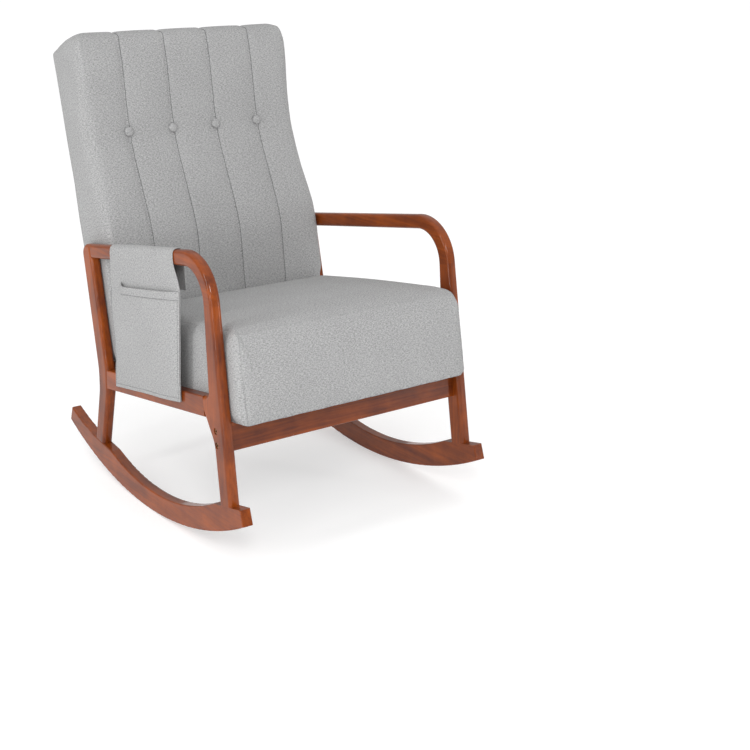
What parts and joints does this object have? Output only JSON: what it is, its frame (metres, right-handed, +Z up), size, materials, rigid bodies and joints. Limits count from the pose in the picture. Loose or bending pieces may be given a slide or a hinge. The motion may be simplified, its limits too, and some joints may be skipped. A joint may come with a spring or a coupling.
{
  "type": "upholstered nursery rocking chair",
  "caption": "High-back upholstered rocking chair on curved wooden runners, with bent wooden armrests and a cloth pocket over one arm.",
  "frame": {"origin": "on the floor, under the middle of the bounding box; the chair's own middle plane is 8 mm to +X of it because the pocket stands out on the -X side", "axes": "+Z up; a sitter faces -Y; the pocket hangs on the armrest on the -X side"},
  "size_m": [0.656, 0.9248, 1.0414],
  "materials": {
    "stained_wood": "semi-gloss walnut-brown stain",
    "plain_wood": "unfinished",
    "grey_upholstery": "woven linen-look heather grey",
    "foam": "open-cell foam",
    "felt": "needled felt",
    "webbing": "elastic webbing and tie cord",
    "dust_cloth": "thin black non-woven cloth",
    "steel": "bronzed zinc",
    "plastic": "moulded",
    "grip_tape": "hook-and-loop tape"
  },
  "bodies": {
    "chair": {"left_armrest": "stained_wood", "left_front_leg": "stained_wood", "left_rear_leg": "stained_wood", "left_side_rail": "stained_wood", "left_rocker": "stained_wood", "right_armrest": "stained_wood", "right_front_leg": "stained_wood", "right_rear_leg": "stained_wood", "right_side_rail": "stained_wood", "right_rocker": "stained_wood", "front_rail": "stained_wood", "rear_rail": "stained_wood", "seat_frame_front_board": "plain_wood", "seat_frame_rear_board": "plain_wood", "seat_frame_left_board": "plain_wood", "seat_frame_right_board": "plain_wood", "seat_corner_blocks": "plain_wood", "back_frame_left_board": "plain_wood", "back_frame_right_board": "plain_wood", "back_frame_top_board": "plain_wood", "back_frame_bottom_board": "plain_wood", "rocker_dowels": "plain_wood", "armrest_dowels": "plain_wood", "side_rail_dowels": "plain_wood", "rear_rail_dowels": "plain_wood", "front_rail_bolts": "steel", "front_rail_barrel_nuts": "steel", "seat_bolts": "steel", "back_bolts": "steel", "seat_springs": "steel", "seat_spring_clips": "steel", "seat_cover": "grey_upholstery", "back_cover": "grey_upholstery", "back_rear_panel": "grey_upholstery", "back_buttons": "grey_upholstery", "seat_foam": "foam", "back_foam": "foam", "seat_insulator_pad": "felt", "back_webbing": "webbing", "back_button_cords": "webbing", "seat_dust_cover": "dust_cloth", "seat_spacers": "plastic", "back_spacers": "plastic"},
    "side_pocket": {"pocket_panel": "grey_upholstery", "pocket_pouch": "grey_upholstery", "pocket_grip_strip": "grip_tape"}
  },
  "joints": [
    {"name": "pocket_slide", "type": "slide", "parent": "chair", "child": "side_pocket", "axis": [0, 0.9866, -0.1631], "range_m": [-0.03, 0.06]}
  ]
}
